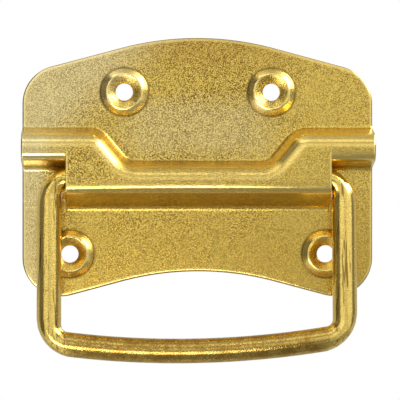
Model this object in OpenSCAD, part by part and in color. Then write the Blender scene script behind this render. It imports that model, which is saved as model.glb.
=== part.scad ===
// Pressed-steel chest handle: a back plate stamped from one sheet, and a bail bent from one rod.
// The sheet lies flat on the wall apart from a raised ridge, which carries the bail's two pivots,
// and a raised, countersunk boss at each screw hole. Two slits let the bail's ends pass under the ridge.
// Sizes are in millimetres. The wall is the plane Y = 0, the front faces -Y and +Z is up.
// The origin lies on the wall, midway between the two upper screw holes.

/* [Back plate] */
// Width of the plate
plate_w = 100; // [98:0.5:108]
// Thickness of the sheet
sheet_t = 1; // [0.8:0.1:1.2]
// Height of the plate's top edge above the upper screw holes
top_rise = 15.5; // [13:0.5:20]
// Distance from the top edge down to the scalloped lower edge, which repeats its curve
blank_pitch = 66.7; // [65:0.1:70]
// Radius of the curve in the middle of those two edges
edge_r = 84; // [74:1:95]
// Fall of those two edges outside the curve, in degrees
edge_fall = 15; // [13:0.5:16]
// Radius of the plate's four corners
corner_r = 11; // [8:0.5:12]

/* [Screw holes] */
// Distance between the two upper holes
upper_spacing = 42; // [36:1:44]
// Distance between the two lower holes
lower_spacing = 73; // [71:0.5:74]
// Distance from the upper holes down to the lower holes
hole_drop = 46.2; // [44:0.1:47.5]
// Diameter of the holes
hole_d = 4.9; // [4:0.1:5.5]
// Diameter of the countersink at the boss's rim
sink_d = 9.8; // [9.4:0.1:10]
// Diameter of the boss at its foot
boss_d = 14; // [13.6:0.1:14.6]
// Height of the boss above the sheet
boss_h = 1.4; // [1.2:0.1:1.6]

/* [Ridge] */
// Distance from the upper holes down to the ridge's foot at the two wings
wing_drop = 9.6; // [8.6:0.1:10.4]
// Distance from the upper holes down to the ridge's foot in the middle
dip_drop = 19; // [17.5:0.1:19.4]
// Distance between the outer ends of the two stretches that slope down to the middle
dip_w = 55; // [53:0.5:57]
// Slope of those stretches across the plate, in degrees
dip_slope = 50; // [45:1:55]
// Steepness of the ridge's upper wall, in degrees
crest_slope = 75; // [72:1:80]
// Steepness of the walls under the wings, which stop the raised bail, in degrees
stop_slope = 76; // [74:1:80]
// Steepness of the ridge's lower wall, in degrees
lower_slope = 62; // [58:1:66]

/* [Bail] */
// Diameter of the rod
rod_d = 7; // [6.4:0.1:7.2]
// Distance between the middles of the two arms
arm_spacing = 83.7; // [83:0.1:85]
// Distance from the pivots to the middle of the grip
bail_reach = 48.9; // [46:0.1:60]
// Radius of the rod's four bends, at its middle
bend_r = 5.5; // [5:0.1:6]
// Radius of the grip's bow, at its middle
grip_r = 260; // [200:5:400]
// Length of each pivot under the ridge, from the slit inwards
pivot_l = 12; // [9:0.5:13]
// Distance from the upper holes down to the pivots
pivot_drop = 24.6; // [24.2:0.1:25]
// Sideways play, which the hanging bail takes up to one side
side_play = 0.3; // [0:0.05:0.5]

/* [Hidden] */
$fn = 96;

brass = [0.80, 0.64, 0.28];

// Gaps round the rod: to the plate behind it, to the ridge before and below it, where its bends need
// room, to the walls above it, from its arms to the slits, and from its arms to the bosses behind them
rod_gap = 0.2;
rod_room = 1;
stop_gap = 0.25;
side_gap = 0.2;
rest_gap = 0.2;
// Width of the lanced slits
slit_gap = 0.15;

// Length of sheet that each bend laps into the flat beside it, and how far inside that flat the lap ends
lap = 0.3;
tuck = 0.01;
// Length that the ridge's straight runs lap into its turns, and how much further out the turns' faces lie
turn_lap = 0.1;
turn_swell = 0.02;
// How far the pressed sheet runs out past the plate before its outline is cut
trim = 5;
// Front radii of the bends at the feet of the ridge's walls and of the bosses
foot_r = 0.8;
stop_foot_r = 1.6;
lower_foot_r = 2.2;
boss_foot_r = 0.5;
// Back radii of the bends at the top of the upper wall, at the ridge's lower edges and at the bosses' rims
crest_r = 3.2;
stop_brow_r = 1.3;
lower_brow_r = 1.7;
boss_rim_r = 0.3;
// Steepness of the bosses' sides, in degrees
boss_slope = 55;
// Depth of the straight hole below the countersink
hole_land = 0.8;
// Radii on plan of the ridge's upper foot, where it leaves the middle and where it reaches a wing
leave_r = 4;
reach_r = 7.8;
// Length of rod that each run laps into a bend, and how much thicker the bend is
rod_lap = 0.3;
rod_swell = 0.02;
// Steps in each bend of the sheet
bend_steps = 8;

rod_r = rod_d / 2;
pivot_h = sheet_t + rod_gap + rod_r;
ridge_rise = pivot_h + rod_r + rod_room;
ridge_h = ridge_rise + sheet_t;
// How far the inside of a bend reaches past the arm where it crosses the edge of the ridge
bend_in_r = bend_r - rod_r;
bend_reach = bend_in_r - sqrt(bend_in_r ^ 2 - max(0, bend_in_r - rod_room) ^ 2);
slit_w = arm_spacing - rod_d - 2 * (side_play + side_gap + bend_reach);
// The bail's arms hang against the two lower bosses
rest_tilt = atan((boss_h + rest_gap) / (hole_drop - pivot_drop));

// Half the width of the curve in the middle of the top edge, and how far that edge drops within it
edge_run = edge_r * sin(edge_fall);
edge_drop = edge_r * (1 - cos(edge_fall));
// Where the ridge's upper foot leaves the middle and where it reaches a wing
turn_tan = tan(dip_slope / 2);
leave_x = dip_w / 2 - (dip_drop - wing_drop) / tan(dip_slope) - leave_r * turn_tan;
reach_x = dip_w / 2 + reach_r * turn_tan;
crest_run = step_run(ridge_rise, crest_slope, foot_r, crest_r);
stop_run = step_run(ridge_rise, stop_slope, stop_foot_r, stop_brow_r);
lower_run = step_run(ridge_rise, lower_slope, lower_foot_r, lower_brow_r);
// Heights of the feet of the walls under the wings and of the lower wall, set off from the rod
stop_foot = foot_beside_rod(stop_slope, stop_foot_r, rod_r + stop_gap);
lower_foot = foot_beside_rod(lower_slope, lower_foot_r, -rod_r - rod_room - sheet_t);

// Length of the straight part of a step in the sheet, and the distance that the whole step takes up
function step_flat(rise, slope, foot, crown) =
    (rise - (foot + crown + sheet_t) * (1 - cos(slope))) / sin(slope);
function step_run(rise, slope, foot, crown) =
    (foot + crown + sheet_t) * sin(slope) + step_flat(rise, slope, foot, crown) * cos(slope);
// Height of the foot of a wall whose front passes the pivots at a distance
function foot_beside_rod(slope, foot, distance) =
    -pivot_drop + distance / sin(slope) - (pivot_h - sheet_t) / tan(slope) - foot * tan(slope / 2);

function arc(centre, r, from, to, steps = bend_steps) =
    [for (i = [0:steps])
        let (angle = from + (to - from) * i / steps)
        centre + r * [cos(angle), sin(angle)]];
function mirrored(points) = [for (i = [len(points) - 1:-1:0]) [-points[i].x, points[i].y]];

// Front or back of a sheet that steps up: bent up over the foot, sloped, and bent flat at the top.
// The depth is 0 for the front and the sheet's thickness for the back.
function step_line(rise, slope, foot, crown, depth) =
    concat(arc([0, sheet_t + foot], foot + depth, 270, 270 + slope),
           arc([step_run(rise, slope, foot, crown), rise - crown],
               crown + sheet_t - depth, 90 + slope, 90));
// End of a lap: the sheet's edge, tucked in a little at both faces so that it ends inside its neighbour
function lap_end(x, y) = [[x, y + sheet_t - tuck], [x, y + tuck]];
function reversed(points) = [for (i = [len(points) - 1:-1:0]) points[i]];

module step_section(rise, slope, foot, crown, swell = 0) {
    polygon(concat(step_line(rise, slope, foot, crown, -swell),
                   lap_end(step_run(rise, slope, foot, crown) + lap, rise),
                   reversed(step_line(rise, slope, foot, crown, sheet_t + swell)),
                   reversed(lap_end(-lap, 0))));
}

// Everything beyond a plane through the Z axis
module beyond(reach) {
    translate([0, -reach, -reach]) cube([reach, 2 * reach, 2 * reach]);
}

// Sweeps a section along a route of [length] runs and [angle, radius] turns, left turns positive.
// The first child is the section of the runs and the second that of the turns, which the runs lap into.
// A section's X points to the left of the route and its Y points up.
module sweep(route, leg = 0) {
    if (leg < len(route) && len(route[leg]) == 1) {
        length = route[leg][0];
        before = leg > 0 ? turn_lap : 0;
        after = leg < len(route) - 1 ? turn_lap : 0;
        translate([-before, 0, 0]) rotate([90, 0, 90])
            linear_extrude(before + length + after) children(0);
        translate([length, 0, 0]) sweep(route, leg + 1) {
            children(0);
            children(1);
        }
    } else if (leg < len(route)) {
        angle = route[leg][0];
        offset = sign(angle) * route[leg][1];
        reach = route[leg][1] + 30;
        translate([0, offset, 0]) {
            difference() {
                rotate_extrude($fn = 240) translate([-offset, 0]) children(1);
                rotate(180) beyond(reach);
                rotate(angle) beyond(reach);
            }
            rotate(angle) translate([0, -offset, 0]) sweep(route, leg + 1) {
                children(0);
                children(1);
            }
        }
    }
}

// Height at which an edge with its middle at a given height would meet the side of the plate
function side_y(middle) = middle - edge_drop - (plate_w / 2 - edge_run) * tan(edge_fall);

// Outline of the plate, with its corners rounded
module outline() {
    side = plate_w / 2;
    low = top_rise - blank_pitch;
    upper_corner = [-side + corner_r, side_y(top_rise) - corner_r * tan((90 - edge_fall) / 2)];
    lower_corner = [-side + corner_r, side_y(low) + corner_r / tan((90 - edge_fall) / 2)];
    left = concat(arc([0, top_rise - edge_r], edge_r, 90, 90 + edge_fall),
                  arc(upper_corner, corner_r, 90 + edge_fall, 180, 2 * bend_steps),
                  arc(lower_corner, corner_r, 180, 270 + edge_fall, 3 * bend_steps),
                  arc([0, low - edge_r], edge_r, 90 + edge_fall, 90));
    polygon(concat(left, mirrored(left)));
}

// Upper foot of the ridge, from the middle to the left, moved in under the ridge by an inset
function crest_line(inset) =
    let (part = dip_slope / bend_steps)
    concat([[0, -dip_drop - inset]],
           arc([-leave_x, leave_r - dip_drop], leave_r + inset, 270 - part, 270 - dip_slope + part),
           arc([-reach_x, -reach_r - wing_drop], reach_r - inset, 90 - dip_slope + part, 90 - part),
           [[-plate_w / 2 - trim, -wing_drop - inset]]);

// Plan of the ridge, between its upper foot and its lower feet, each moved in by its own inset
module ridge_plan(crest_inset, wing_y, wing_in, middle_y) {
    left = concat(crest_line(crest_inset),
                  [[-plate_w / 2 - trim, wing_y], [-wing_in, wing_y], [-wing_in, middle_y]]);
    polygon(concat(left, mirrored(left)));
}

// Raised boss round a screw hole, countersunk from the front
module boss() {
    foot = boss_d / 2;
    top = boss_h + sheet_t;
    sink_slope = atan((top - hole_land) / (sink_d - hole_d) * 2);
    back = hole_d / 2 + (sheet_t / cos(sink_slope) - hole_land) / tan(sink_slope);
    rotate_extrude() translate([-foot, 0])
        polygon(concat(step_line(boss_h, boss_slope, boss_foot_r, boss_rim_r, 0),
                       [[foot - sink_d / 2, top], [foot - hole_d / 2, hole_land]],
                       [[foot - hole_d / 2, 0], [foot - back, 0]],
                       reversed(step_line(boss_h, boss_slope, boss_foot_r, boss_rim_r, sheet_t)),
                       reversed(lap_end(-lap, 0))));
}

module at_holes() {
    for (side = [-1, 1]) {
        translate([side * upper_spacing / 2, 0]) children();
        translate([side * lower_spacing / 2, -hole_drop]) children();
    }
}

// The pressed sheet before its outline is cut: X across, Y up the wall, Z out from it
module pressed_sheet() {
    half_lap = lap / 2;
    slit = slit_w / 2;
    middle = slit - slit_gap;
    wide = plate_w + 2 * trim;
    crest_route = [[leave_x], [-dip_slope, leave_r],
                   [(dip_drop - wing_drop) / sin(dip_slope) - (leave_r + reach_r) * turn_tan],
                   [dip_slope, reach_r], [wide / 2 - reach_x]];
    linear_extrude(sheet_t) difference() {
        translate([-wide / 2, -plate_w]) square([wide, 1.5 * plate_w]);
        ridge_plan(-half_lap, stop_foot - half_lap, slit, lower_foot - half_lap);
        at_holes() circle(boss_d / 2 + half_lap);
    }
    translate([0, 0, ridge_rise]) linear_extrude(sheet_t)
        ridge_plan(crest_run + half_lap, stop_foot + stop_run + half_lap,
                   middle, lower_foot + lower_run + half_lap);
    for (side = [0, 1]) mirror([side, 0, 0]) {
        translate([0, -dip_drop, 0]) rotate(180) sweep(crest_route) {
            step_section(ridge_rise, crest_slope, foot_r, crest_r);
            step_section(ridge_rise, crest_slope, foot_r, crest_r, turn_swell);
        }
        translate([slit, stop_foot, 0])
            sweep([[wide / 2 - slit]]) step_section(ridge_rise, stop_slope, stop_foot_r, stop_brow_r);
    }
    translate([-middle, lower_foot, 0])
        sweep([[2 * middle]]) step_section(ridge_rise, lower_slope, lower_foot_r, lower_brow_r);
    at_holes() boss();
}

module back_plate() {
    color(brass) rotate([90, 0, 0]) intersection() {
        pressed_sheet();
        linear_extrude(ridge_h + trim) outline();
    }
}

// The rod, seen square on: its pivots lie on the X axis and its grip hangs below.
// Each bend is a hair thicker than the runs that lap into it.
module bail_rod() {
    arm_x = arm_spacing / 2;
    grip_angle = asin((arm_x - bend_r) / (grip_r - bend_r));
    corner_y = grip_r - bail_reach - (grip_r - bend_r) * cos(grip_angle);
    pivot_end = slit_w / 2 - pivot_l;
    for (side = [0, 1]) mirror([side, 0, 0]) {
        translate([pivot_end, 0, 0]) rotate([0, 90, 0])
            cylinder(r = rod_r, h = arm_x - bend_r + rod_lap - pivot_end);
        translate([arm_x - bend_r, -bend_r, 0]) bend(90);
        translate([arm_x, corner_y - rod_lap, 0]) rotate([-90, 0, 0])
            cylinder(r = rod_r, h = 2 * rod_lap - bend_r - corner_y);
        translate([arm_x - bend_r, corner_y, 0]) rotate(grip_angle - 90) bend(90 - grip_angle);
    }
    grip_sweep = 2 * (grip_angle + atan(rod_lap / grip_r));
    translate([0, grip_r - bail_reach, 0]) rotate(-90 - grip_sweep / 2)
        rotate_extrude(angle = grip_sweep, $fn = 960) translate([grip_r, 0]) circle(rod_r);
}

module bend(angle) {
    rotate_extrude(angle = angle) translate([bend_r, 0]) circle(rod_r + rod_swell);
}

module bail_handle() {
    color(brass) translate([-side_play, -pivot_h, -pivot_drop])
        rotate([90 - rest_tilt, 0, 0]) bail_rod();
}

back_plate();
bail_handle();
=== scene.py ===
from collections import namedtuple
from math import asin, atan2, cos, pi, radians, sin, tan

import bpy
import numpy as np
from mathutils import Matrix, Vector
from mathutils.geometry import delaunay_2d_cdt


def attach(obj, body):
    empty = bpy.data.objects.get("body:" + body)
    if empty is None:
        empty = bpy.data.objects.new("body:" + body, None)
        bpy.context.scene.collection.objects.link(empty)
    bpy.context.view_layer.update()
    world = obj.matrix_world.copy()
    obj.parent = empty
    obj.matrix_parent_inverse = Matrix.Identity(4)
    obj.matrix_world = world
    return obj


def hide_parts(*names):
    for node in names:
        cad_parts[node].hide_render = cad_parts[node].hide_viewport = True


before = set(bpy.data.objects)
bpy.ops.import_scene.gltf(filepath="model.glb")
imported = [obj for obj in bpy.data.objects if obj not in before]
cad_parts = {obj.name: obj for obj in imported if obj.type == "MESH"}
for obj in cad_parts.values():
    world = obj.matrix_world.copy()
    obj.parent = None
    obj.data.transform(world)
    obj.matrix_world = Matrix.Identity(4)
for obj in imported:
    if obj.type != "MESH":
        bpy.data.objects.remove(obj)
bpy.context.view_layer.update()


# BACK PLATE
# One blank of 1 mm sheet steel, pressed to a ridge with S-curved shoulders and four countersunk bosses,
# lanced beside the ridge and plated in brass. Four screws hold it flat on the side of the chest.

plate_w, sheet = 100.0, 1.0
top_rise, blank_pitch = 15.5, 66.7
edge_r, edge_fall, corner_r = 84.0, radians(15), 11.0
die_roll = 0.6
upper_spacing, lower_spacing, hole_drop = 42.0, 73.0, 46.2
hole_r, hole_land, hole_sides = 2.45, 0.8, 64
sink_r, sink_bow = 4.9, 0.75
boss_r, boss_top, boss_skirt = 7.0, 2.4, 0.3
wing_drop, dip_drop, dip_w, dip_slope = 9.6, 19.0, 55.0, radians(50)
leave_r, reach_r = 4.0, 7.8
rod_r, pivot_h, pivot_drop = 3.5, 4.7, 24.6
rod_room, stop_room = 1.0, 0.25
ridge_rise = pivot_h + rod_r + rod_room
slit_in, slit_out, slit_roll = 37.5, 37.52, 0.3
brow_drop, brow_bow = 0.85, 0.4
sag_run, sag_fall = 1.8, 0.1

# Lines of the mesh: how far they stay clear of a bend, run on past the edge, and lie apart at least
clear, past_edge, line_gap = 0.5, 1, 0.02

# A step in the sheet: its rise, its steepness, and the radii of the bends at its foot and its crown
Step = namedtuple("Step", "rise slope foot crown")
crest_step = Step(ridge_rise, radians(75), 0.8, 3.2)
stop_step = Step(ridge_rise, radians(76), 1.6, 1.3)
lower_step = Step(ridge_rise, radians(62), 2.2, 1.7)
boss_step = Step(boss_top - sheet, radians(37), 0.15, 0.1)


def step_run(step):
    """How far a step reaches over the plan, from the start of its foot to the end of its crown."""
    bends = step.foot + step.crown + sheet
    straight = (step.rise - bends * (1 - cos(step.slope))) / sin(step.slope)
    return bends * sin(step.slope) + straight * cos(step.slope)


def step_height(d, step, depth):
    """Height of the sheet's front (depth 0) or back (depth of the sheet) at distances past a step's foot."""
    rise, slope, foot, crown = step
    run = step_run(step)
    foot_r, crown_r = foot + depth, crown + sheet - depth
    foot_end, crown_start = foot_r * sin(slope), run - crown_r * sin(slope)
    low = sheet + foot - np.sqrt(foot_r**2 - np.clip(d, 0, foot_end) ** 2)
    wall = sheet + foot - foot_r * cos(slope) + (d - foot_end) * tan(slope)
    top = rise - crown + np.sqrt(crown_r**2 - np.clip(run - d, 0, crown_r * sin(slope)) ** 2)
    return np.where(d < foot_end, low, np.where(d < crown_start, wall, top))


def step_lines(step, turns=7):
    """Distances past the foot where the mesh has a line: round the bends of both faces, and clear of them."""
    run, angles = step_run(step), np.linspace(0, step.slope, turns + 1)
    feet = [r * np.sin(angles) for r in (step.foot, step.foot + sheet)]
    crowns = [run - r * np.sin(angles) for r in (step.crown, step.crown + sheet)]
    distances = np.sort(np.concatenate(feet + crowns + [[-clear, run + clear]]))
    return distances[np.append(True, np.diff(distances) > line_gap)]


def foot_below_rod(step, gap):
    """Height on the plan of a step's foot, for a wall that passes the pivots' middle at a gap above it."""
    return (-pivot_drop + gap / sin(step.slope) - (pivot_h - sheet) / tan(step.slope)
            - step.foot * tan(step.slope / 2))


stop_foot = foot_below_rod(stop_step, rod_r + stop_room)
lower_foot = foot_below_rod(lower_step, -(rod_r + rod_room + sheet))
slit_top = stop_foot + step_run(stop_step)


def lower_stretch(x):
    """The lower wall leans back a little more in the middle, where the press draws the sheet in."""
    return 1 + (brow_bow * (1 - (x / slit_in) ** 2) - brow_drop) / step_run(lower_step)


# The ridge's upper foot leaves the dip in one turn and reaches the wing in another
turn_tan = tan(dip_slope / 2)
leave_x = dip_w / 2 - (dip_drop - wing_drop) / tan(dip_slope) - leave_r * turn_tan
reach_x = dip_w / 2 + reach_r * turn_tan
leave_centre = np.array([leave_x, leave_r - dip_drop])
reach_centre = np.array([reach_x, -reach_r - wing_drop])
shoulder = np.array([cos(dip_slope), sin(dip_slope)])
shoulder_in = np.array([sin(dip_slope), -cos(dip_slope)])


def crest_depth(x, y):
    """How far points lie in under the ridge from its upper foot: level, S-curved to the wings, and level."""
    p = np.stack([np.abs(x), y], axis=-1)
    from_leave, from_reach = p - leave_centre, p - reach_centre
    zones = [p[..., 0] < leave_x, from_leave @ shoulder < 0, from_reach @ shoulder < 0, p[..., 0] < reach_x]
    depths = [
        -dip_drop - y,
        np.linalg.norm(from_leave, axis=-1) - leave_r,
        from_leave @ shoulder_in - leave_r,
        reach_r - np.linalg.norm(from_reach, axis=-1),
    ]
    return np.select(zones, depths, -wing_drop - y)


def crest_path(d):
    """The line at one depth in under the ridge, from the left side of the plate to the right."""
    turn = np.linspace(0, dip_slope, 15)
    level_x = np.linspace(0, leave_x, 10)[:-1]
    wing_x = np.linspace(reach_x, plate_w / 2 + past_edge, 14)[1:]
    right = np.concatenate([
        np.stack([level_x, np.full(len(level_x), -dip_drop - d)], axis=1),
        leave_centre + (leave_r + d) * np.stack([np.sin(turn), -np.cos(turn)], axis=1),
        reach_centre + (reach_r - d) * np.stack([-np.sin(turn[::-1]), np.cos(turn[::-1])], axis=1),
        np.stack([wing_x, np.full(len(wing_x), -wing_drop - d)], axis=1),
    ])
    return np.concatenate([right[:0:-1] * [-1, 1], right])


def arc(centre, r, start, end, steps):
    """Points round part of a circle."""
    turn = np.linspace(start, end, steps + 1)
    return np.array(centre) + r * np.stack([np.cos(turn), np.sin(turn)], axis=1)


def outline(inset):
    """The blank's outline, moved in by an inset: the scalloped lower edge repeats the curve of the top."""
    side, bottom_rise = plate_w / 2, top_rise - blank_pitch
    falls = edge_r * (1 - cos(edge_fall)) + (side - edge_r * sin(edge_fall)) * tan(edge_fall)
    half_turn = tan((pi / 2 - edge_fall) / 2)
    upper = (corner_r - side, top_rise - falls - corner_r * half_turn)
    lower = (corner_r - side, bottom_rise - falls + corner_r / half_turn)
    left = np.concatenate([
        arc((0, top_rise - edge_r), edge_r - inset, pi / 2, pi / 2 + edge_fall, 24),
        arc(upper, corner_r - inset, pi / 2 + edge_fall, pi, 24),
        arc(lower, corner_r - inset, pi, 3 * pi / 2 + edge_fall, 32),
        arc((0, bottom_rise - edge_r), edge_r + inset, pi / 2 + edge_fall, pi / 2, 24),
    ])
    return np.concatenate([left, left[-2:0:-1] * [-1, 1]])


blank = outline(0)
holes = [(side * spacing / 2, -drop)
         for spacing, drop in ((upper_spacing, 0.0), (lower_spacing, hole_drop)) for side in (-1, 1)]


def edge_distance(p, loop):
    """Distance of points from a closed line."""
    a, along = loop, np.roll(loop, -1, axis=0) - loop
    t = np.clip(((p[:, None] - a) * along).sum(2) / (along**2).sum(1), 0, 1)
    return np.linalg.norm(p[:, None] - a - t[..., None] * along, axis=2).min(1)


def rolled(d, r):
    """How far a sheared edge is rolled down, at distances in from it."""
    return r - np.sqrt(r**2 - np.clip(r - d, 0, r) ** 2)


def sagged_step(d, step, depth):
    """A step whose crown sags a little towards the brow, where the press draws the sheet over."""
    height, past = step_height(d, step, depth), d - step_run(step)
    eased = np.clip(sag_run - past, 0, sag_run) ** 2 / (2 * sag_run)
    sag = sag_fall * np.where(past > 0, eased, sag_run / 2 - past)
    return height - sag * (height - sheet + depth) / ridge_rise


def sagged_lines(step):
    """Distances past the foot where the mesh has a line, also over the sagging crown."""
    return np.append(step_lines(step), step_run(step) + sag_run * np.array([0.25, 0.5, 0.75, 1]))


def sheet_height(p, depth):
    """Height of the pressed sheet's front or back above the wall."""
    x, y = p.T
    between = np.abs(x) < (slit_in + slit_out) / 2
    middle = sagged_step((y - lower_foot) / lower_stretch(np.clip(x, -slit_in, slit_in)), lower_step, depth)
    lower = np.where(between, middle, sagged_step(y - stop_foot, stop_step, depth))
    height = np.minimum(step_height(crest_depth(x, y), crest_step, depth), lower)
    for hole in holes:
        r = np.linalg.norm(p - hole, axis=1)
        boss = step_height(boss_r - r, boss_step, depth)
        if depth:
            rim = boss_r - step_run(boss_step)
            boss = np.where(r < rim, np.clip((r - hole_r) / (rim - hole_r), 0, 1) * boss_step.rise, boss)
        else:
            sunk = np.clip((r - hole_r) / (sink_r - hole_r), 0, 1) ** sink_bow
            boss = np.where(r < sink_r, hole_land + sunk * (boss_top - hole_land), boss)
        height = np.where(r < boss_r + boss_skirt, boss, height)
    if not depth:
        height = height - rolled(edge_distance(p, blank), die_roll)
        beside = between & (y < slit_top) & (y > lower_foot)
        height = height - np.where(beside, rolled(slit_in - np.abs(x), slit_roll), 0)
    return height


def inside(p, loop):
    """Whether points lie inside a closed line."""
    x, y = p[:, :1], p[:, 1:]
    a, b = loop, np.roll(loop, -1, axis=0)
    with np.errstate(divide="ignore", invalid="ignore"):
        meets = a[:, 0] + (y - a[:, 1]) * (b[:, 0] - a[:, 0]) / (b[:, 1] - a[:, 1])
    return (((a[:, 1] > y) != (b[:, 1] > y)) & (x < meets)).sum(1) % 2 == 1


# Lines on the plan: each bend of the ridge, the slits, the bosses' rings and the rolled edge
plan_points, plan_edges = [], []


def lay(line, closed=False):
    """Adds a line to the plan."""
    first = len(plan_points)
    plan_points.extend(Vector(p) for p in line)
    plan_edges.extend((first + i, first + i + 1) for i in range(len(line) - 1))
    if closed:
        plan_edges.append((first + len(line) - 1, first))


for d in step_lines(crest_step):
    lay(crest_path(d))
for d in sagged_lines(stop_step):
    for side in (-1, 1):
        lay([(side * x, stop_foot + d) for x in np.linspace(slit_out, plate_w / 2 + past_edge, 9)])
for d in sagged_lines(lower_step):
    lay([(x, lower_foot + d * lower_stretch(x)) for x in np.linspace(-slit_in, slit_in, 50)])
slit_corners = ((slit_in, lower_foot), (slit_out, lower_foot), (slit_out, slit_top), (slit_in, slit_top))
slits = {side: np.array([(side * x, y) for x, y in slit_corners]) for side in (-1, 1)}
for side, slit in slits.items():
    lay(slit, closed=True)
    for turn in np.linspace(0, pi / 2, 5)[1:]:
        x = side * (slit_in - slit_roll * (1 - cos(turn)))
        lay([(x, y) for y in np.linspace(lower_foot, slit_top, 16)])
    for x in (slit_in - slit_roll - clear, slit_out + clear):
        lay([(side * x, lower_foot - clear), (side * x, slit_top + clear)])
boss_rings = np.concatenate([boss_r - step_lines(boss_step, 3), np.linspace(sink_r, hole_r, 7)])
for hole in holes:
    for r in boss_rings:
        lay(arc(hole, r, 0, 2 * pi, hole_sides)[:-1], closed=True)
for turn in np.linspace(0, pi / 2, 6):
    lay(outline(die_roll * (1 - cos(turn))), closed=True)
lay(outline(die_roll + clear), closed=True)

plan, _, plan_faces, *_ = delaunay_2d_cdt(plan_points, plan_edges, [], 0, 1e-4)
plan = np.array([tuple(p) for p in plan])
plan_faces = np.array(plan_faces)
middles = plan[plan_faces].mean(axis=1)
kept = inside(middles, blank)
for slit in slits.values():
    kept &= ~inside(middles, slit)
for hole in holes:
    kept &= np.linalg.norm(middles - hole, axis=1) > hole_r * cos(pi / hole_sides)
used, plan_faces = np.unique(plan_faces[kept], return_inverse=True)
plan, plan_faces = plan[used], plan_faces.reshape(-1, 3)

# The front and the back stand over the plan, and rims close the sheet between them
front, back = sheet_height(plan, 0), sheet_height(plan, sheet)
vertices = np.concatenate([np.stack([plan[:, 0], -h, plan[:, 1]], axis=1) for h in (front, back)]) / 1000
count = len(plan)
sides = {(a, b) for f in plan_faces.tolist() for a, b in zip(f, f[1:] + f[:1])}
rims = [(b, a, a + count, b + count) for a, b in sides if (b, a) not in sides]
faces = plan_faces.tolist() + (plan_faces[:, ::-1] + count).tolist() + rims


def put(name, data):
    """Adds a mesh, a lamp or a camera to the scene."""
    thing = bpy.data.objects.new(name, data)
    bpy.context.scene.collection.objects.link(thing)
    return thing


def shaded_mesh(name, vertices, faces, crease):
    """Adds a mesh that is shaded smooth, but for edges sharper than the crease."""
    mesh = bpy.data.meshes.new(name)
    mesh.from_pydata(vertices, [], faces)
    mesh.shade_smooth()
    mesh.set_sharp_from_angle(angle=crease)
    return put(name, mesh)


plate = shaded_mesh("pressed_plate", vertices, faces, crease=radians(38))


class Wire:
    """One output of a finish's nodes. Arithmetic on it adds Math nodes, and node() adds any other."""

    def __init__(self, tree, socket=None):
        self.tree, self.socket = tree, socket

    def node(self, kind, settings=None, values=None, output=0):
        """Adds a node, with its settings first and then a value or wire for each socket named."""
        node = self.tree.nodes.new("ShaderNode" + kind)
        for name, value in (settings or {}).items():
            setattr(node, name, value)
        for name, value in (values or {}).items():
            if isinstance(value, Wire):
                self.tree.links.new(value.socket, node.inputs[name])
            else:
                node.inputs[name].default_value = value
        return Wire(self.tree, node.outputs[output] if node.outputs else None)

    def maths(self, operation, *values):
        return self.node("Math", {"operation": operation}, dict(enumerate(values)))

    def __add__(self, other):
        return self.maths("ADD", self, other)

    __radd__ = __add__

    def __sub__(self, other):
        return self.maths("SUBTRACT", self, other)

    def __rsub__(self, other):
        return self.maths("SUBTRACT", other, self)

    def __neg__(self):
        return 0 - self

    def __mul__(self, other):
        return self.maths("MULTIPLY", self, other)

    __rmul__ = __mul__

    def __abs__(self):
        return self.maths("ABSOLUTE", self)

    def between(self, low, high):
        """Rises smoothly from 0 to 1 as the value goes from low to high."""
        return self.node("MapRange", {"interpolation_type": "SMOOTHSTEP"},
                         {"Value": self, "From Min": low, "From Max": high})

    def near(self, centre, full, gone):
        """1 about the centre, falling smoothly to 0 as the distance from it goes from full to gone."""
        return 1 - abs(self - centre).between(full, gone)

    def mix(self, a, b):
        """Colour a where the value is 0 and colour b where it is 1, on the Mix node's colour sockets."""
        return self.node("Mix", {"data_type": "RGBA"}, {0: self, 6: a, 7: b}, output=2)

    def parts(self):
        """The three parts of a vector."""
        split = self.node("SeparateXYZ", None, {"Vector": self})
        return [Wire(self.tree, socket) for socket in split.socket.node.outputs]


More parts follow.
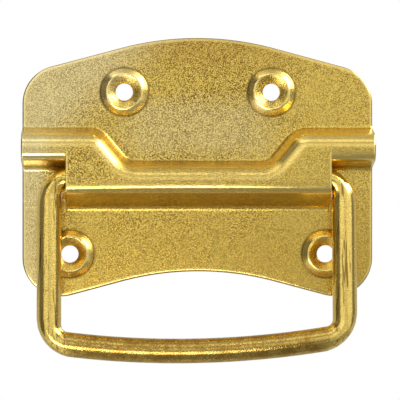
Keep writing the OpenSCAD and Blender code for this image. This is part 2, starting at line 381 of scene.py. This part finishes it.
def brass_finish(name, light, deep, grain_size, smooth, drawn=0.0):
    """Satin brass over steel: sparkling grain in a cloudy tone, with brown pits and faint scratches.

    The plate has painted sheen in places, painted shade in its folds, along its sheared edge, towards the
    bottom and in a dark patch at the top middle, and a painted highlight on its crowns.
    Drawn rod has lines along its arms and a dark grip.
    """
    finish = bpy.data.materials.new(name)
    finish.use_nodes = True
    finish.node_tree.nodes.clear()
    wire = Wire(finish.node_tree)
    place = wire.node("TexCoord", output="Object")
    across, _, up = place.parts()

    def noise(size_mm, detail, vector=place):
        return wire.node("TexNoise", None, {
            "Vector": vector, "Scale": 1000 / size_mm, "Detail": detail, "Roughness": 0.7})

    grain, cloud, stain = noise(grain_size, 0), noise(14, 3), noise(3.2, 4)
    slant = wire.node("Mapping", None, {
        "Vector": place, "Rotation": (0, radians(42), 0), "Scale": (0.05, 1, 2)})
    scratch = noise(0.9, 2, slant).between(0.66, 0.74) * stain.between(0.45, 0.6)
    burnish_and_highlight = wire.node("Attribute", {"attribute_name": "burnish_and_highlight"}, output="Fac")

    # Painted sheen: a paler colour stands in for brighter light on the left ear, the upper left, and the flat
    # above the ridge's middle
    ear, left = (-across).between(0.041, 0.046), (up - across).between(0.015, 0.038)
    sheen_above_ridge = up.near(-0.010, 0.003, 0.012) * across.near(0, 0.012, 0.028) * 0.6
    painted_sheen = ear + left - ear * left + sheen_above_ridge
    low, right = (-up).between(0.02, 0.05), across.between(0.008, 0.036)

    # How strongly the grain shows
    strength = (0.7 + 0.3 * cloud.between(0.3, 0.65)) * (1 - 0.6 * burnish_and_highlight) * (1 - 0.3 * right)
    strength = strength * (1 - 0.2 * low) * (1 - 0.4 * painted_sheen)
    bright = (*light, 1)
    if drawn:
        arms = abs(across).between(0.034, 0.039) * drawn
        strength = strength * (1 - 0.6 * arms)
    else:
        # Painted sheen: the brass is mixed towards pale where the light would fall brighter
        painted_sheen_colour = (1.0, 0.88, 0.5, 1)
        bright = (painted_sheen * 0.6).mix(bright, painted_sheen_colour)
    speck = grain.between(0.43, 0.57) * strength
    colour = speck.mix(bright, (*deep, 1))

    if drawn:
        drawing_line, dark_grip_brown = (0.24, 0.13, 0.02, 1), (0.36, 0.20, 0.03, 1)
        lengthwise = wire.node("Mapping", None, {"Vector": place, "Scale": (1, 1, 0.008)})
        line = noise(0.8, 2, lengthwise).between(0.56, 0.63) * arms
        # The grip, away from the arms, is mixed towards a darker brown in a cloudy pattern
        grip_darkening = (0.45 + 0.45 * stain.between(0.4, 0.62)) * (1 - arms)
        colour = grip_darkening.mix(line.mix(colour, drawing_line), dark_grip_brown)
    else:
        painted_dark_brown, painted_low_shade_brown = (0.48, 0.27, 0.05, 1), (0.45, 0.27, 0.035, 1)
        painted_fold_shade, painted_crown_highlight = (0.16, 0.085, 0.015, 1), (1.0, 0.84, 0.4, 1)
        # Painted dark reflection: a cloudy brown patch at the top middle of the plate
        painted_dark_patch = up.between(0.002, 0.013) * across.near(0.004, 0.012, 0.034) * cloud.between(0.2, 0.6)
        fold_and_edge_shade = wire.node("Attribute", {"attribute_name": "fold_and_edge_shade"}, output="Fac")
        colour = (painted_dark_patch * 0.4).mix(colour, painted_dark_brown)
        # Painted shade: the lower part of the plate is mixed towards a duller brown
        colour = (low * (0.4 - 0.2 * ear)).mix(colour, painted_low_shade_brown)
        # Painted shade in the folds round the bosses and along the sheared edge
        colour = (fold_and_edge_shade * 0.7).mix(colour, painted_fold_shade)
        # Painted highlight: crowns are mixed towards pale brass; their lower roughness is the real burnish
        colour = (burnish_and_highlight * 0.25).mix(colour, painted_crown_highlight)

    pit_brown, scratch_brown = (0.26, 0.13, 0.03, 1), (0.36, 0.22, 0.06, 1)
    pits = stain.between(0.6, 0.7) * grain.between(0.45, 0.6) * (1 - burnish_and_highlight)
    colour = (pits * 0.5).mix(colour, pit_brown)
    colour = (scratch * 0.6).mix(colour, scratch_brown)
    rough = smooth + stain * 0.08 + speck * 0.04 - burnish_and_highlight * 0.13
    height = grain * strength + stain * 0.5 - scratch * 0.5
    bump = wire.node("Bump", None, {"Strength": 1.0, "Distance": 0.00005, "Height": height})
    shader = wire.node("BsdfPrincipled", None, {
        "Base Color": colour, "Metallic": 1.0, "Roughness": rough, "Normal": bump,
        "Coat Weight": 0.1, "Coat Roughness": 0.15})
    wire.node("OutputMaterial", None, {"Surface": shader})
    return finish


def mark(piece, name, amount):
    """Stores how far the finish is changed at each point."""
    attribute = piece.data.attributes.new(name, "FLOAT", "POINT")
    attribute.data.foreach_set("value", np.asarray(amount, np.float32))


def facing(p, reach=0.12):
    """Unit direction that the sheet's front faces."""
    rise = [(sheet_height(p + d, 0) - sheet_height(p - d, 0)) / (2 * reach) for d in ((reach, 0), (0, reach))]
    normal = np.stack([-rise[0], -rise[1], np.ones(len(p))], axis=1)
    return normal / np.linalg.norm(normal, axis=1, keepdims=True)


def spread(reach=0.2):
    """How fast the sheet's face turns: above zero over a crown, below zero in a foot."""
    return sum((facing(plan + d) - facing(plan - d))[:, axis]
               for axis, d in enumerate(((reach, 0), (0, reach))))


# Crowns are burnished and painted paler as a highlight. Painted shade darkens the folds round the bosses and
# the sheared edge.
burnish_gain, edge_dark = 6, 0.35
turning = np.tile(spread() * burnish_gain, 2)
from_hole = np.tile(np.min([np.linalg.norm(plan - hole, axis=1) for hole in holes], axis=0), 2)
in_fold = np.clip(-turning, 0, 1) * (np.abs(from_hole - boss_r) < clear)
at_edge = np.tile(np.clip(1 - edge_distance(plan, blank) / edge_dark, 0, 1), 2)
mark(plate, "burnish_and_highlight", np.clip(turning, 0, 1))
mark(plate, "fold_and_edge_shade", np.maximum(in_fold, at_edge))
plate.data.materials.append(brass_finish(
    "plate_brass", light=(1.0, 0.72, 0.155), deep=(0.14, 0.065, 0.006), grain_size=0.22, smooth=0.23))
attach(plate, "plate")
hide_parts("back_plate")


# BAIL
# One length of 7 mm steel rod, bent cold to a bowed grip, two arms and two inward ends, and plated in brass.
# The ends turn loosely under the ridge. Each bend is drawn thin on its outer side, which turns wider.

arm_x, bail_reach, bend_r, grip_r = 41.8, 48.84, 5.5, 260.0
pivot_end, side_play, grip_slant = 25.58, 0.4, 0.02
rest_gap, ring_points = 0.2, 40
rest_tilt = atan2(boss_top - sheet + rest_gap, hole_drop - pivot_drop)

# The outer side of a bend is one arc that begins early, before the bend does
outer_r = 11.4
early = outer_r - bend_r - rod_r
grip_angle = asin((arm_x - bend_r) / (grip_r - bend_r))
corner_y = grip_r - bail_reach - (grip_r - bend_r) * cos(grip_angle)
bend_x = arm_x - bend_r


def straight(a, b, turn, steps, bends):
    """Stations along a straight run: place across, place up, direction out of the bail, and thinning."""
    places = np.linspace(a, b, steps)
    nearest = np.min([np.linalg.norm(places - bend, axis=1) for bend in bends], axis=0)
    thins = rolled(outer_r - early + nearest, outer_r)
    return [(*p, turn, thin) for p, thin in zip(places, thins)]


def bent(centre, start, end, steps):
    """Stations round a bend, whose outer side is one wider arc from before the bend to after it."""
    shift = early / cos((end - start) / 2)
    turns = np.linspace(start, end, steps + 1)
    off = turns - (start + end) / 2
    thins = bend_r + rod_r + shift * np.cos(off) - np.sqrt(outer_r**2 - (shift * np.sin(off)) ** 2)
    places = arc(centre, bend_r, start, end, steps)
    return [(*p, turn, thin) for p, turn, thin in zip(places, turns, thins)]


right = (
    straight((pivot_end, 0), (bend_x, 0), pi / 2, 16, [(bend_x, 0)])
    + bent((bend_x, -bend_r), pi / 2, 0, 20)[1:]
    + straight((arm_x, -bend_r), (arm_x, corner_y), 0, 40, [(arm_x, -bend_r), (arm_x, corner_y)])[1:]
    + bent((bend_x, corner_y), 0, grip_angle - pi / 2, 20)[1:]
    + [(grip_r * cos(t), grip_r - bail_reach + grip_r * sin(t), t, 0.0)
       for t in np.linspace(grip_angle - pi / 2, -pi / 2, 40)[1:]]
)
stations = right + [(-x, y, pi - t, thin) for x, y, t, thin in right[-2::-1]]

rings = []
for x, y, turn, thin in stations:
    y += grip_slant * x * min(1, -y / bail_reach)
    for a in np.linspace(0, 2 * pi, ring_points, endpoint=False):
        out = rod_r * cos(a) - max(0, cos(a)) * thin
        rings.append((x + out * cos(turn), y + out * sin(turn), rod_r * sin(a)))
rings = np.array(rings)
tilt = pi / 2 - rest_tilt
bail_points = np.stack([
    rings[:, 0] - side_play,
    rings[:, 1] * cos(tilt) - rings[:, 2] * sin(tilt) - pivot_h,
    rings[:, 1] * sin(tilt) + rings[:, 2] * cos(tilt) - pivot_drop,
], axis=1) / 1000
bail_faces = [tuple(range(ring_points)), tuple(range(len(rings) - 1, len(rings) - ring_points - 1, -1))]
for ring in range(len(stations) - 1):
    for i in range(ring_points):
        a, b = ring * ring_points + i, ring * ring_points + (i + 1) % ring_points
        bail_faces.append((b, a, a + ring_points, b + ring_points))
bail = shaded_mesh("bent_bail", bail_points, bail_faces, crease=radians(45))
bail.data.materials.append(brass_finish(
    "bail_brass", light=(1.0, 0.74, 0.19), deep=(0.16, 0.08, 0.008), grain_size=0.28, smooth=0.1, drawn=0.85))
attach(bail, "bail")
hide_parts("bail_handle")


# SETTING
# A white studio with darker gaps at its sides and below, a softbox at the right and a small reflector low
# at the left front. The handle hangs before a white backdrop, far above a small pale floor, and the camera
# looks square at it from a little to the left.

floor_z, floor_half = -3.0, 0.25
floor_mesh = bpy.data.meshes.new("floor")
floor_mesh.from_pydata(
    [(x * floor_half, y * floor_half, floor_z) for x, y in ((-1, -1), (1, -1), (1, 1), (-1, 1))],
    [], [(0, 1, 2, 3)])
floor = put("floor", floor_mesh)
pale = bpy.data.materials.new("pale_floor")
pale.use_nodes = True
pale.node_tree.nodes["Principled BSDF"].inputs["Base Color"].default_value = (0.9, 0.9, 0.89, 1)
pale.node_tree.nodes["Principled BSDF"].inputs["Roughness"].default_value = 0.9
floor_mesh.materials.append(pale)

studio = bpy.data.worlds.new("studio")
bpy.context.scene.world = studio
studio.use_nodes = True
studio.node_tree.nodes.clear()
wire = Wire(studio.node_tree)
across, away, up = wire.node("TexCoord", output="Generated").parts()

# The room grows lighter to both sides and upwards
glow = 0.63 + (-across).between(-0.08, 0.12) * 0.2 + across.between(0.2, 0.5) * 0.2 + up.between(0, 0.2) * 0.3

# Its dark gaps at the left, the right and below, where the left part stays light
left_part = (-across).between(0.1, 0.25)
left_gap, right_gap = (0.25 * up - across).between(0.70, 0.82), across.between(0.9, 0.96)
below, nadir = (-up).between(0.25, 0.45), (-up).between(0.8, 0.95)
glow = glow * (1 - 0.8 * left_gap) * (1 - 0.75 * right_gap) * (1 - 0.55 * below * (1 - left_part))

# Overhead, a dark band and a light rail under a duller ceiling
band, rail, ceiling = up.near(0.6, 0.05, 0.14), up.near(0.78, 0.03, 0.09), up.between(0.84, 0.95)
glow = glow * (1 - 0.45 * band) * (1 - 0.4 * ceiling)

# The dark camera, and the narrow post above it
dark_camera = across.near(0.045, 0.06, 0.16) * up.near(-0.16, 0.08, 0.18)
post = across.near(-0.045, 0.02, 0.05) * up.near(0.14, 0.1, 0.18)
glow = glow * (1 - 0.75 * dark_camera) * (1 - 0.45 * post) + nadir * left_part * 0.1 + rail * 0.35

# Behind the handle the room is even, with the white backdrop in its middle. The camera sees white all round.
behind, backdrop = away.between(0, 0.3), away.between(0.88, 0.97)
seen = wire.node("LightPath", output="Is Camera Ray")
glow = glow * (1 - behind) + 0.55 * behind
glow = glow * (1 - backdrop) + backdrop
glow = glow * (1 - seen) + seen
sky = wire.node("Background", None, {"Color": (1, 1, 1, 1), "Strength": glow})
wire.node("OutputWorld", None, {"Surface": sky})

handle_middle = Vector((0, 0, -0.03))


def lamp(name, across, up, distance, width, height, brightness):
    """A soft panel that faces the handle, at angles across and up from straight in front of it."""
    light = bpy.data.lights.new(name, "AREA")
    light.shape, light.size, light.size_y = "RECTANGLE", width, height
    light.energy = brightness * pi**2 * width * height
    place = Vector((sin(across) * cos(up), -cos(across) * cos(up), sin(up))) * distance
    holder = put(name, light)
    holder.location = place + handle_middle
    holder.rotation_euler = (-place).to_track_quat("-Z", "Y").to_euler()
    holder.visible_camera = False


lamp("upper_right_panel", radians(92), radians(36), 0.9, 1.5, 0.5, brightness=2.0)
lamp("lower_left_panel", radians(-18), radians(-28), 0.214, 0.18, 0.062, brightness=1.3)

aim = Vector((0.00064, 0, -0.0308))
camera_distance, camera_side, picture_w = 0.59, radians(2), 0.1144
camera = bpy.data.cameras.new("camera")
camera.sensor_width = 36
camera.lens = camera.sensor_width * camera_distance / picture_w
stand = put("camera", camera)
stand.location = aim + Vector((-sin(camera_side), -cos(camera_side), 0)) * camera_distance
stand.rotation_euler = (aim - stand.location).to_track_quat("-Z", "Y").to_euler()
bpy.context.scene.camera = stand
bpy.context.scene.view_settings.view_transform = "Standard"
